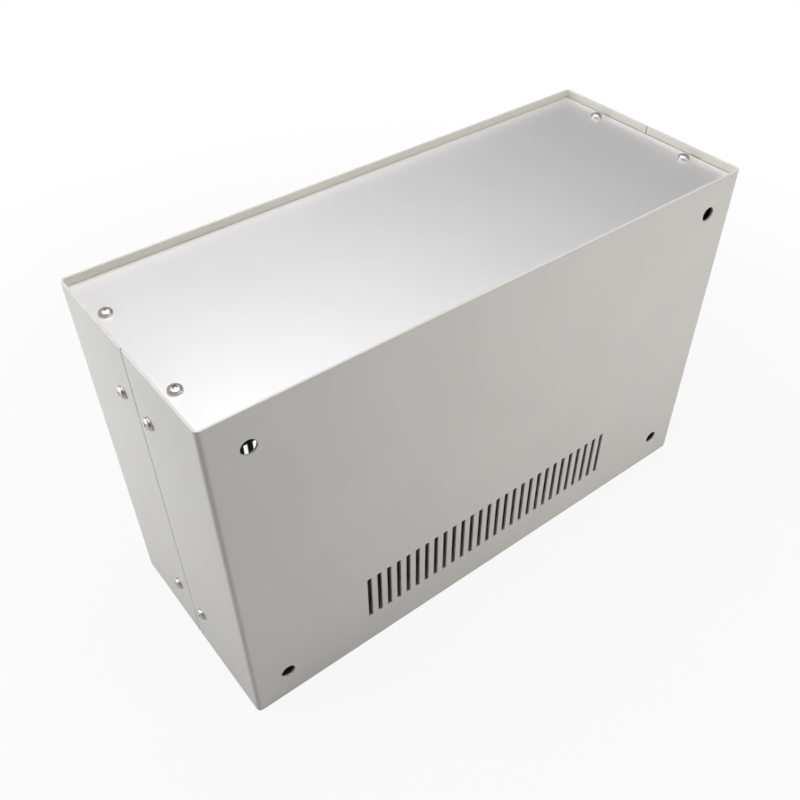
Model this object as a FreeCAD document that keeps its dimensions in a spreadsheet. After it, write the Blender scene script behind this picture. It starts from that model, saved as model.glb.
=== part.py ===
import FreeCAD, Part

import math
import os

import Sketcher
from FreeCAD import Placement, Rotation, Vector

# Instrument case: an empty box of folded and punched sheet metal, standing on its rear end.
# Millimetres, +Z up. The origin is the middle of the footprint, X runs along the long side and
# Y across the case, with the vented base face towards -Y.
#
# Two U-folded shells meet at a seam in the middle of the two short sides. A bracket behind each
# seam carries both shells and both end panels, and every screw is tapped into a bracket.

SIZES = (
    ("case_length", 300, "outside length along X"),
    ("case_depth", 118, "outside depth along Y"),
    ("case_height", 190.5, "outside height along Z"),
    ("shell_sheet", 1.1, "shell wall: 1 mm steel and its paint"),
    ("shell_fold", 2.5, "outside radius of the shell folds"),
    ("shell_edge", 0.3, "rounding of the painted cut edges"),
    ("seam_gap", 0.6, "gap between the two shells at the side seams"),
    ("slot_count", 28, "vent slots in each shell"),
    ("slot_pitch", 6, "from one vent slot to the next"),
    ("slot_width", 2.6, "width of a vent slot"),
    ("slot_height", 30.5, "length of a vent slot along Z"),
    ("slot_from_end", 20, "rear rim to the vent slots"),
    ("slot_corner", 0.4, "corner radius of a vent slot"),
    ("foot_hole", 7.5, "diameter of the four foot holes"),
    ("foot_from_side", 19, "side face to foot hole centre"),
    ("foot_from_end", 18.25, "rim to foot hole centre"),
    ("panel_plate", 2, "thickness of the end panels"),
    ("panel_setback", 4, "rim down to the face of the panel"),
    ("panel_end_gap", 0.3, "clearance between a panel and the two short sides"),
    ("panel_side_gap", 0.1, "clearance between a panel and the two long sides"),
    ("panel_edge", 0.1, "rounding of the edges of the panel face"),
    ("panel_screw_from_side", 7, "side face to panel screw axis"),
    ("panel_screw_spread", 60, "between the two panel screws of one side, along Y"),
    ("side_screw_spread", 24, "between the side screws of one pair, across the seam"),
    ("side_screw_from_end", 30, "rim to side screw axis"),
    ("bracket_sheet", 1.5, "sheet of the inner brackets"),
    ("bracket_fold", 2.5, "outside radius of the bracket folds"),
    ("bracket_margin", 10, "panel screw axis to the end of a bracket, along Y"),
    ("bracket_flange", 14, "flange behind the panel, from the web's outer face"),
    ("screw_hole", 3.4, "clearance hole for a screw"),
    ("thread_size", 3, "outside diameter of the screw thread"),
    ("thread_gap", 0.05, "radial clearance of a thread in its tapped hole"),
    ("screw_length", 6, "screw, under the head"),
    ("screw_tip", 0.4, "chamfer at the end of a screw"),
    ("head_size", 6.2, "diameter of a screw head"),
    ("head_height", 2.2, "height of a screw head"),
    ("head_shoulder", 1.5, "radius at the shoulder of a screw head"),
    ("head_crown", 5.5, "radius of the crown of a screw head"),
    ("recess_length", 3, "cross recess, tip to tip at the crown"),
    ("recess_arm", 0.85, "width of a recess arm at the crown"),
    ("recess_depth", 1.6, "depth of the cross recess"),
    ("recess_floor", 1, "cross recess, tip to tip at its floor"),
    ("recess_floor_arm", 0.5, "width of a recess arm at its floor"),
)

# Turn of each screw's cross recess about its axis, in degrees, one step more for each screw.
RECESS_TURN_STEP = 37

# A sketch counts its own axes down from -1, and the points of a line or an arc up from 1.
X_AXIS, Y_AXIS = range(-1, -3, -1)
START, END, CENTRE = range(1, 4)
ORIGIN_POINT = (X_AXIS, START)

LEFT, RIGHT = -1, 1

# An edge this near to a plane lies in it.
SAME_PLACE = 1e-4

document = FreeCAD.newDocument("instrument_case")


# Sizes and the expressions that tie geometry to them


class Size:
    """A size with its number and the expression that keeps it tied to the sheet."""

    def __init__(self, value, text):
        self.value = value
        self.text = text

    def _with(self, sign, other, value):
        text = other.text if isinstance(other, Size) else str(other)
        return Size(value, f"({self.text} {sign} {text})")

    def __add__(self, other):
        return self._with("+", other, self.value + number(other))

    def __sub__(self, other):
        return self._with("-", other, self.value - number(other))

    def __mul__(self, other):
        return self._with("*", other, self.value * number(other))

    def __truediv__(self, other):
        return self._with("/", other, self.value / number(other))

    def __neg__(self):
        return self * -1


def number(size):
    return size.value if isinstance(size, Size) else size


def make_sheet():
    """Fills the spreadsheet and returns its sizes by name."""
    sheet = document.addObject("Spreadsheet::Sheet", "Sizes")
    sizes = {}
    for row, (alias, value, note) in enumerate(SIZES, start=1):
        sheet.set(f"A{row}", alias)
        sheet.set(f"B{row}", str(value))
        sheet.setAlias(f"B{row}", alias)
        sheet.set(f"C{row}", note)
        sizes[alias] = Size(value, "Sizes." + alias)
    document.recompute()
    return sizes


size = make_sheet()


# Sketching and features


def new_body(name):
    body = document.addObject("PartDesign::Body", name)
    body.Label = name
    return body


def new_sketch(body, name, plane, offset=None):
    """A sketch on one of the body's own origin planes, or parallel to it at an offset."""
    support = [item for item in body.Origin.OriginFeatures if item.Role == plane][0]
    sketch = body.newObject("Sketcher::SketchObject", f"{body.Name}_{name}")
    sketch.AttachmentSupport = [(support, "")]
    sketch.MapMode = "FlatFace"
    if offset:
        sketch.setExpression(".AttachmentOffset.Base.z", offset.text)
    return sketch


def dimension(sketch, name, kind, references, value):
    """A named driving dimension, tied to the sheet."""
    index = sketch.addConstraint(Sketcher.Constraint(kind, *references, number(value)))
    sketch.renameConstraint(index, name)
    sketch.setExpression(f"Constraints.{name}", value.text)


def locate(sketch, name, point, across, up):
    """Places a point of the sketch from its origin. None puts it on that axis."""
    if across is None:
        sketch.addConstraint(Sketcher.Constraint("PointOnObject", *point, Y_AXIS))
    else:
        dimension(sketch, f"{name}_across", "DistanceX", (*ORIGIN_POINT, *point), across)
    if up is None:
        sketch.addConstraint(Sketcher.Constraint("PointOnObject", *point, X_AXIS))
    else:
        dimension(sketch, f"{name}_up", "DistanceY", (*ORIGIN_POINT, *point), up)


def add_line(sketch, start, end):
    return sketch.addGeometry(Part.LineSegment(Vector(*start, 0), Vector(*end, 0)), False)


def add_arc(sketch, centre, radius, start_angle, end_angle):
    circle = Part.Circle(Vector(*centre, 0), Vector(0, 0, 1), radius)
    arc = Part.ArcOfCircle(circle, math.radians(start_angle), math.radians(end_angle))
    return sketch.addGeometry(arc, False)


def join(sketch, kind, *pairs):
    """Joins end points, as Coincident or Tangent."""
    for first, second in pairs:
        sketch.addConstraint(Sketcher.Constraint(kind, *first, *second))


def level(sketch, *lines):
    for line in lines:
        sketch.addConstraint(Sketcher.Constraint("Horizontal", line))


def upright(sketch, *lines):
    for line in lines:
        sketch.addConstraint(Sketcher.Constraint("Vertical", line))


def rounded_rectangle(sketch, width, height, radius, middle_up=None):
    """A rectangle with rounded corners, centred on the sketch's Y axis at a height."""
    half_width = number(width) / 2
    half_height = number(height) / 2
    corner = number(radius)
    rise = number(middle_up) if middle_up else 0
    flat = half_width - corner
    wall = half_height - corner
    bottom = add_line(sketch, (-flat, rise - half_height), (flat, rise - half_height))
    right = add_line(sketch, (half_width, rise - wall), (half_width, rise + wall))
    top = add_line(sketch, (flat, rise + half_height), (-flat, rise + half_height))
    left = add_line(sketch, (-half_width, rise + wall), (-half_width, rise - wall))
    lower_right = add_arc(sketch, (flat, rise - wall), corner, 270, 360)
    upper_right = add_arc(sketch, (flat, rise + wall), corner, 0, 90)
    upper_left = add_arc(sketch, (-flat, rise + wall), corner, 90, 180)
    lower_left = add_arc(sketch, (-flat, rise - wall), corner, 180, 270)
    outline = (bottom, lower_right, right, upper_right, top, upper_left, left, lower_left)
    followers = outline[1:] + outline[:1]
    join(sketch, "Tangent", *(((a, END), (b, START)) for a, b in zip(outline, followers)))
    level(sketch, bottom, top)
    upright(sketch, right, left)
    for arc in (upper_right, upper_left, lower_left):
        sketch.addConstraint(Sketcher.Constraint("Equal", lower_right, arc))
    dimension(sketch, "corner", "Radius", (lower_right,), radius)
    dimension(sketch, "width", "DistanceX", (left, START, right, END), width)
    dimension(sketch, "height", "DistanceY", (bottom, START, top, END), height)
    lowest = middle_up - height / 2 if middle_up else -height / 2
    dimension(sketch, "side", "DistanceX", (*ORIGIN_POINT, left, START), -width / 2)
    dimension(sketch, "base", "DistanceY", (*ORIGIN_POINT, bottom, START), lowest)


def round_holes(sketch, centres, diameter):
    """Equal circles at the given centres."""
    first = None
    for count, (across, up) in enumerate(centres, start=1):
        middle = Vector(number(across), number(up), 0)
        circle = Part.Circle(middle, Vector(0, 0, 1), number(diameter) / 2)
        hole = sketch.addGeometry(circle, False)
        locate(sketch, f"hole_{count}", (hole, CENTRE), across, up)
        if first is None:
            first = hole
            dimension(sketch, "hole_diameter", "Diameter", (hole,), diameter)
        else:
            sketch.addConstraint(Sketcher.Constraint("Equal", first, hole))


def channel_outline(sketch, span, leg, sheet, fold):
    """The section of a folded channel: a web on the X axis and two legs that rise along Y.

    The span is outside to outside, and both folds have the given outside radius.
    """
    half = number(span) / 2
    top = number(leg)
    wall = number(sheet)
    outer = number(fold)
    inner = outer - wall
    bend = half - outer
    left_outer = add_line(sketch, (-half, top), (-half, outer))
    left_outer_fold = add_arc(sketch, (-bend, outer), outer, 180, 270)
    web_outer = add_line(sketch, (-bend, 0), (bend, 0))
    right_outer_fold = add_arc(sketch, (bend, outer), outer, 270, 360)
    right_outer = add_line(sketch, (half, outer), (half, top))
    right_end = add_line(sketch, (half, top), (half - wall, top))
    right_inner = add_line(sketch, (half - wall, top), (half - wall, outer))
    right_inner_fold = add_arc(sketch, (bend, outer), inner, 270, 360)
    web_inner = add_line(sketch, (bend, wall), (-bend, wall))
    left_inner_fold = add_arc(sketch, (-bend, outer), inner, 180, 270)
    left_inner = add_line(sketch, (wall - half, outer), (wall - half, top))
    left_end = add_line(sketch, (wall - half, top), (-half, top))
    join(
        sketch, "Tangent",
        ((left_outer, END), (left_outer_fold, START)),
        ((left_outer_fold, END), (web_outer, START)),
        ((web_outer, END), (right_outer_fold, START)),
        ((right_outer_fold, END), (right_outer, START)),
        ((right_inner, END), (right_inner_fold, END)),
        ((right_inner_fold, START), (web_inner, START)),
        ((web_inner, END), (left_inner_fold, END)),
        ((left_inner_fold, START), (left_inner, START)),
    )
    join(
        sketch, "Coincident",
        ((right_outer, END), (right_end, START)),
        ((right_end, END), (right_inner, START)),
        ((left_inner, END), (left_end, START)),
        ((left_end, END), (left_outer, START)),
        ((left_outer_fold, CENTRE), (left_inner_fold, CENTRE)),
        ((right_outer_fold, CENTRE), (right_inner_fold, CENTRE)),
    )
    level(sketch, web_inner, left_end, right_end)
    upright(sketch, left_outer, right_outer, left_inner, right_inner)
    sketch.addConstraint(Sketcher.Constraint("PointOnObject", web_outer, START, X_AXIS))
    sketch.addConstraint(Sketcher.Constraint("PointOnObject", web_outer, END, X_AXIS))
    sketch.addConstraint(Sketcher.Constraint("Symmetric", left_outer, START, right_outer, END, Y_AXIS))
    sketch.addConstraint(Sketcher.Constraint("Equal", left_outer_fold, right_outer_fold))
    dimension(sketch, "fold", "Radius", (left_outer_fold,), fold)
    dimension(sketch, "span", "DistanceX", (left_outer, START, right_outer, END), span)
    dimension(sketch, "leg", "DistanceY", (web_outer, START, left_outer, START), leg)
    dimension(sketch, "sheet", "DistanceX", (left_outer, START, left_inner, END), sheet)


def pad(body, sketch, length, symmetric=False):
    feature = body.newObject("PartDesign::Pad", f"{sketch.Name}_pad")
    feature.Profile = sketch
    feature.Midplane = symmetric
    feature.setExpression("Length", length.text)
    sketch.Visibility = False
    document.recompute()
    return feature


def finish_cut(body, feature, volume_before):
    """Makes the feature the body's tip and makes sure that it took material away."""
    body.Tip = feature
    document.recompute()
    if not body.Shape.Volume < volume_before:
        raise RuntimeError(f"{feature.Name} cuts nothing")
    return feature


def pocket(body, sketch, both_ways=False):
    """Cuts the sketch right through the body."""
    volume_before = body.Shape.Volume
    feature = body.newObject("PartDesign::Pocket", f"{sketch.Name}_cut")
    feature.Profile = sketch
    feature.Type = "ThroughAll"
    feature.Midplane = both_ways
    sketch.Visibility = False
    return finish_cut(body, feature, volume_before)


def row_of(body, feature, sketch, count, pitch):
    """Repeats a cut along its sketch's X axis."""
    volume_before = body.Shape.Volume
    row = body.newObject("PartDesign::LinearPattern", f"{feature.Name}_row")
    row.Originals = [feature]
    row.Direction = (sketch, ["H_Axis"])
    row.Mode = "Spacing"
    row.setExpression("Offset", pitch.text)
    row.setExpression("Occurrences", count.text)
    return finish_cut(body, row, volume_before)


def round_edges(body, chosen, radius):
    """Rounds the edges of the body's present shape that the test picks."""
    base = body.Tip
    names = [f"Edge{i}" for i, edge in enumerate(base.Shape.Edges, start=1) if chosen(edge)]
    feature = body.newObject("PartDesign::Fillet", f"{body.Name}_round_{len(body.Group)}")
    feature.Base = (base, names)
    feature.setExpression("Radius", radius.text)
    return finish_cut(body, feature, base.Shape.Volume)


def lies_at(edge, axis, position):
    """True if the whole edge lies in the plane at that position along the axis."""
    ends = (getattr(edge.BoundBox, axis + "Min"), getattr(edge.BoundBox, axis + "Max"))
    return all(abs(end - position) < SAME_PLACE for end in ends)


def put(body, x=None, y=None, z=None, rotation=Rotation()):
    """Places a finished body. None leaves that coordinate at zero."""
    body.Placement = Placement(Vector(0, 0, 0), rotation)
    for axis, position in (("x", x), ("y", y), ("z", z)):
        if position is not None:
            body.setExpression(f"Placement.Base.{axis}", position.text)


# Shells

HALF_TURN = Rotation(Vector(0, 0, 1), 180)


def make_shell(name):
    """A U-folded shell with its web on the XZ plane and its two side flanges towards +Y.

    It has a row of vent slots in the web, low down, and two screw holes in each flange beside
    the seam.
    """
    body = new_body(name)
    half_length = size["case_length"] / 2
    flange = (size["case_depth"] - size["seam_gap"]) / 2

    section = new_sketch(body, "section", "XY_Plane")
    channel_outline(section, size["case_length"], flange, size["shell_sheet"], size["shell_fold"])
    pad(body, section, size["case_height"])

    height = size["case_height"].value
    seam = flange.value
    round_edges(
        body,
        lambda edge: lies_at(edge, "Z", 0) or lies_at(edge, "Z", height) or lies_at(edge, "Y", seam),
        size["shell_edge"],
    )

    slot = new_sketch(body, "slot", "XZ_Plane")
    first_slot = -(size["slot_pitch"] * (size["slot_count"] - 1) / 2)
    slot.setExpression(".AttachmentOffset.Base.x", first_slot.text)
    slot_middle = size["slot_from_end"] + size["slot_height"] / 2
    rounded_rectangle(slot, size["slot_width"], size["slot_height"], size["slot_corner"], slot_middle)
    row_of(body, pocket(body, slot), slot, size["slot_count"], size["slot_pitch"])

    seam_screws = new_sketch(body, "seam_screws", "YZ_Plane")
    from_web = (size["case_depth"] - size["side_screw_spread"]) / 2
    high = size["case_height"] - size["side_screw_from_end"]
    low = size["side_screw_from_end"]
    round_holes(seam_screws, ((from_web, low), (from_web, high)), size["screw_hole"])
    pocket(body, seam_screws, both_ways=True)
    return body


def punch_foot_holes(body):
    """Four holes near the corners of the web, for feet."""
    feet = new_sketch(body, "feet", "XZ_Plane")
    out = size["case_length"] / 2 - size["foot_from_side"]
    low = size["foot_from_end"]
    high = size["case_height"] - size["foot_from_end"]
    round_holes(feet, ((-out, low), (out, low), (-out, high), (out, high)), size["foot_hole"])
    pocket(body, feet)


def make_shells():
    base = make_shell("base_shell")
    punch_foot_holes(base)
    put(base, y=-size["case_depth"] / 2)
    cover = make_shell("cover_shell")
    put(cover, y=size["case_depth"] / 2, rotation=HALF_TURN)


# End panels

UPSIDE_DOWN = Rotation(Vector(1, 0, 0), 180)


def panel_screw_places():
    """The four screw axes of an end panel, in X and Y."""
    out = size["case_length"] / 2 - size["panel_screw_from_side"]
    half_spread = size["panel_screw_spread"] / 2
    return ((-out, -half_spread), (-out, half_spread), (out, -half_spread), (out, half_spread))


def make_panel(name):
    """A flat plate that drops into the rim of the two shells, with its seat on the XY plane."""
    body = new_body(name)
    end_inset = size["shell_sheet"] + size["panel_end_gap"]
    side_inset = size["shell_sheet"] + size["panel_side_gap"]
    length = size["case_length"] - end_inset * 2
    width = size["case_depth"] - side_inset * 2
    plate = new_sketch(body, "plate", "XY_Plane")
    rounded_rectangle(plate, length, width, size["shell_fold"] - end_inset)
    pad(body, plate, size["panel_plate"])

    face = size["panel_plate"].value
    round_edges(body, lambda edge: lies_at(edge, "Z", face), size["panel_edge"])

    screws = new_sketch(body, "screws", "XY_Plane")
    round_holes(screws, panel_screw_places(), size["screw_hole"])
    pocket(body, screws, both_ways=True)
    return body


def make_panels():
    front = make_panel("front_panel")
    put(front, z=size["case_height"] - size["panel_setback"] - size["panel_plate"])
    rear = make_panel("rear_panel")
    put(rear, z=size["panel_setback"] + size["panel_plate"], rotation=UPSIDE_DOWN)


# Side brackets

# The bracket is folded like a shell: its span stands along Z and its flanges point inwards.
LEFT_BRACKET_TURN = Rotation(Vector(0, 0, 1), Vector(1, 0, 0), Vector(0, 1, 0), "XYZ")
RIGHT_BRACKET_TURN = Rotation(Vector(0, 0, 1), Vector(-1, 0, 0), Vector(0, -1, 0), "XYZ")


def make_bracket(name, side, rotation):
    """A channel behind the seam of one short side, with its flanges behind the end panels."""
    body = new_body(name)
    span = size["case_height"] - (size["panel_setback"] + size["panel_plate"]) * 2
    section = new_sketch(body, "section", "XY_Plane")
    channel_outline(section, span, size["bracket_flange"], size["bracket_sheet"], size["bracket_fold"])
    width = size["panel_screw_spread"] + size["bracket_margin"] * 2
    pad(body, section, width, symmetric=True)

    tapped = size["thread_size"] + size["thread_gap"] * 2
    up = size["case_height"] / 2 - size["side_screw_from_end"]
    across = size["side_screw_spread"] / 2
    web = new_sketch(body, "web_holes", "XZ_Plane")
    round_holes(web, ((-up, -across), (up, -across), (-up, across), (up, across)), tapped)
    pocket(body, web)

    flanges = new_sketch(body, "flange_holes", "YZ_Plane")
    from_web = size["panel_screw_from_side"] - size["shell_sheet"]
    half_spread = size["panel_screw_spread"] / 2
    round_holes(flanges, ((from_web, -half_spread), (from_web, half_spread)), tapped)
    pocket(body, flanges, both_ways=True)

    web_face = (size["case_length"] / 2 - size["shell_sheet"]) * side
    put(body, x=web_face, z=size["case_height"] / 2, rotation=rotation)


def make_brackets():
    make_bracket("left_side_bracket", LEFT, LEFT_BRACKET_TURN)
    make_bracket("right_side_bracket", RIGHT, RIGHT_BRACKET_TURN)


# Screws


def screw_profile(sketch):
    """Half of a pan-head screw about the Y axis, with the seat of its head on the X axis."""
    shank = size["thread_size"] / 2
    rim = size["head_size"] / 2
    length = size["screw_length"]
    tip = size["screw_tip"]
    shoulder = size["head_shoulder"]
    crown = size["head_crown"]
    top = size["head_height"]

    # Where the shoulder arc meets the crown arc, as a first guess for the sketch.
    shoulder_x = rim.value - shoulder.value
    crown_y = top.value - crown.value
    lean = math.acos(shoulder_x / (crown.value - shoulder.value))
    shoulder_y = crown_y + (crown.value - shoulder.value) * math.sin(lean)
    meet = (crown.value * math.cos(lean), crown_y + crown.value * math.sin(lean))

    axis = add_line(sketch, (0, top.value), (0, -length.value))
    end = add_line(sketch, (0, -length.value), (shank.value - tip.value, -length.value))
    chamfer_end = (shank.value, tip.value - length.value)
    chamfer = add_line(sketch, (shank.value - tip.value, -length.value), chamfer_end)
    side = add_line(sketch, chamfer_end, (shank.value, 0))
    seat = add_line(sketch, (shank.value, 0), (rim.value, 0))
    edge = add_line(sketch, (rim.value, 0), (rim.value, shoulder_y))
    degrees = math.degrees(lean)
    round_shoulder = add_arc(sketch, (shoulder_x, shoulder_y), shoulder.value, 0, degrees)
    round_crown = add_arc(sketch, (0, crown_y), crown.value, degrees, 90)

    join(
        sketch, "Coincident",
        ((axis, END), (end, START)), ((end, END), (chamfer, START)),
        ((chamfer, END), (side, START)), ((side, END), (seat, START)),
        ((seat, END), (edge, START)), ((round_crown, END), (axis, START)),
    )
    join(
        sketch, "Tangent",
        ((edge, END), (round_shoulder, START)), ((round_shoulder, END), (round_crown, START)),
    )
    upright(sketch, side, edge)
    level(sketch, end)
    sketch.addConstraint(Sketcher.Constraint("PointOnObject", round_crown, CENTRE, Y_AXIS))
    sketch.addConstraint(Sketcher.Constraint("PointOnObject", side, END, X_AXIS))
    sketch.addConstraint(Sketcher.Constraint("PointOnObject", seat, END, X_AXIS))
    locate(sketch, "crown_top", (axis, START), None, top)
    locate(sketch, "screw_end", (axis, END), None, -length)
    dimension(sketch, "shank", "DistanceX", (*ORIGIN_POINT, seat, START), shank)
    dimension(sketch, "rim", "DistanceX", (*ORIGIN_POINT, seat, END), rim)
    dimension(sketch, "tip_in", "DistanceX", (chamfer, START, chamfer, END), tip)
    dimension(sketch, "tip_up", "DistanceY", (chamfer, START, chamfer, END), tip)
    dimension(sketch, "shoulder", "Radius", (round_shoulder,), shoulder)
    dimension(sketch, "crown", "Radius", (round_crown,), crown)
    return (sketch, ["V_Axis"])


def plain_rectangle(sketch, width, height):
    """A sharp rectangle centred on the sketch's origin."""
    x = number(width) / 2
    y = number(height) / 2
    corners = ((-x, -y), (x, -y), (x, y), (-x, y))
    lines = [add_line(sketch, a, b) for a, b in zip(corners, corners[1:] + corners[:1])]
    followers = lines[1:] + lines[:1]
    join(sketch, "Coincident", *(((a, END), (b, START)) for a, b in zip(lines, followers)))
    bottom, right, top, left = lines
    level(sketch, bottom, top)
    upright(sketch, right, left)
    dimension(sketch, "width", "DistanceX", (bottom, START, bottom, END), width)
    dimension(sketch, "height", "DistanceY", (right, START, right, END), height)
    locate(sketch, "corner", (bottom, START), -width / 2, -height / 2)


def cut_cross_recess(body):
    """A cross recess in the crown: two tapering slots at right angles."""
    volume_before = body.Shape.Volume
    mouth = new_sketch(body, "recess_mouth", "XY_Plane", size["head_height"])
    plain_rectangle(mouth, size["recess_length"], size["recess_arm"])
    floor = new_sketch(body, "recess_floor", "XY_Plane", size["head_height"] - size["recess_depth"])
    plain_rectangle(floor, size["recess_floor"], size["recess_floor_arm"])
    document.recompute()
    slot = body.newObject("PartDesign::SubtractiveLoft", f"{body.Name}_recess")
    slot.Profile = mouth
    slot.Sections = [floor]
    slot.Ruled = True
    finish_cut(body, slot, volume_before)

    volume_before = body.Shape.Volume
    cross = body.newObject("PartDesign::PolarPattern", f"{body.Name}_cross")
    cross.Originals = [slot]
    cross.Axis = (mouth, ["N_Axis"])
    cross.Angle = 90
    cross.Occurrences = 2
    finish_cut(body, cross, volume_before)


def make_screw(name):
    """A pan-head screw on the Z axis, head up, with the seat of its head on the XY plane."""
    body = new_body(name)
    profile = new_sketch(body, "profile", "XZ_Plane")
    axis = screw_profile(profile)
    turned = body.newObject("PartDesign::Revolution", f"{name}_turned")
    turned.Profile = profile
    turned.ReferenceAxis = axis
    turned.Angle = 360
    profile.Visibility = False
    document.recompute()
    cut_cross_recess(body)
    return body


def make_screws():
    """Four screws in each end panel and four in each short side, each seated on its face."""
    panel_faces = (
        ("front_panel_screw", size["case_height"] - size["panel_setback"], Rotation()),
        ("rear_panel_screw", size["panel_setback"], UPSIDE_DOWN),
    )
    side_faces = (
        ("left_side_screw", -size["case_length"] / 2, Rotation(Vector(0, 1, 0), -90)),
        ("right_side_screw", size["case_length"] / 2, Rotation(Vector(0, 1, 0), 90)),
    )
    across = size["side_screw_spread"] / 2
    low = size["side_screw_from_end"]
    high = size["case_height"] - low
    side_screw_places = ((-across, low), (across, low), (-across, high), (across, high))

    turn = 0
    for name, face, facing in panel_faces:
        for count, (x, y) in enumerate(panel_screw_places(), start=1):
            turn += RECESS_TURN_STEP
            rotation = facing.multiply(Rotation(Vector(0, 0, 1), turn))
            put(make_screw(f"{name}_{count}"), x, y, face, rotation)
    for name, face, facing in side_faces:
        for count, (y, z) in enumerate(side_screw_places, start=1):
            turn += RECESS_TURN_STEP
            rotation = facing.multiply(Rotation(Vector(0, 0, 1), turn))
            put(make_screw(f"{name}_{count}"), face, y, z, rotation)


# Building, checking and writing


def check_and_write(folder):
    """Stops on any failed object, then writes one file for each piece."""
    document.recompute()
    for item in document.Objects:
        if "Invalid" in item.State or "Error" in item.State:
            raise RuntimeError(f"{item.Name} failed: {item.State}")
    bodies = [item for item in document.Objects if item.TypeId == "PartDesign::Body"]
    for body in bodies:
        if body.Shape.isNull() or not body.Shape.isValid() or len(body.Shape.Solids) != 1:
            raise RuntimeError(f"{body.Label} is not one valid solid")
    os.makedirs(folder, exist_ok=True)
    for body in bodies:
        body.Shape.exportStep(os.path.join(folder, body.Label + ".step"))
        print(f"{body.Label}: {body.Shape.Volume:.1f} mm3")


make_shells()
make_panels()
make_brackets()
make_screws()
check_and_write("parts")
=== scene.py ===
"""Looks of the instrument case: its folded and punched sheets, its screws, finishes and stage."""
import math

import bpy
from bpy.props import FloatProperty, FloatVectorProperty, IntProperty, PointerProperty
from bpy.types import Operator, Panel, PropertyGroup
from mathutils import Matrix, Vector


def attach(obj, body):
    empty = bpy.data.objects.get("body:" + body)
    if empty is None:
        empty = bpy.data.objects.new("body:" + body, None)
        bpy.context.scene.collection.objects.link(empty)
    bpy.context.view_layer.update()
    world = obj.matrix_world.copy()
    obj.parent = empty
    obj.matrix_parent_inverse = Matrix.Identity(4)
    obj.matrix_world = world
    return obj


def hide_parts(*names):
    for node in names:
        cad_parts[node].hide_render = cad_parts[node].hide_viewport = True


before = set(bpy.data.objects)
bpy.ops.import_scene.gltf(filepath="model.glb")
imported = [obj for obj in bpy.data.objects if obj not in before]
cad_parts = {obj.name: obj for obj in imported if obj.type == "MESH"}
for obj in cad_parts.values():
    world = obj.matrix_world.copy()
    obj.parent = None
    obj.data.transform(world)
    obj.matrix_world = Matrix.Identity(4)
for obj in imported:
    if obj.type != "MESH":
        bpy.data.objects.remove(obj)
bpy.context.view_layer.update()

bl_info = {
    "name": "Instrument Case",
    "version": (1, 0, 0),
    "blender": (4, 5, 0),
    "location": "View3D > Sidebar > Instrument Case",
    "description": "Sheets, screws, finishes, stage and camera of a sheet-metal instrument case",
    "category": "Object",
}

MM = 0.001

LEFT, RIGHT = -1, 1


# Settings


def length(name, millimetres, description):
    return FloatProperty(
        name=name, description=description, default=millimetres * MM, min=0, unit="LENGTH",
    )


def share(name, default, description):
    return FloatProperty(
        name=name, description=description, default=default, min=0, max=1, subtype="FACTOR",
    )


def colour(name, default, description):
    return FloatVectorProperty(
        name=name, description=description, default=default, min=0, max=1, subtype="COLOR",
    )


def power(name, watts, description):
    return FloatProperty(name=name, description=description, default=watts, min=0, unit="POWER")


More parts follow.
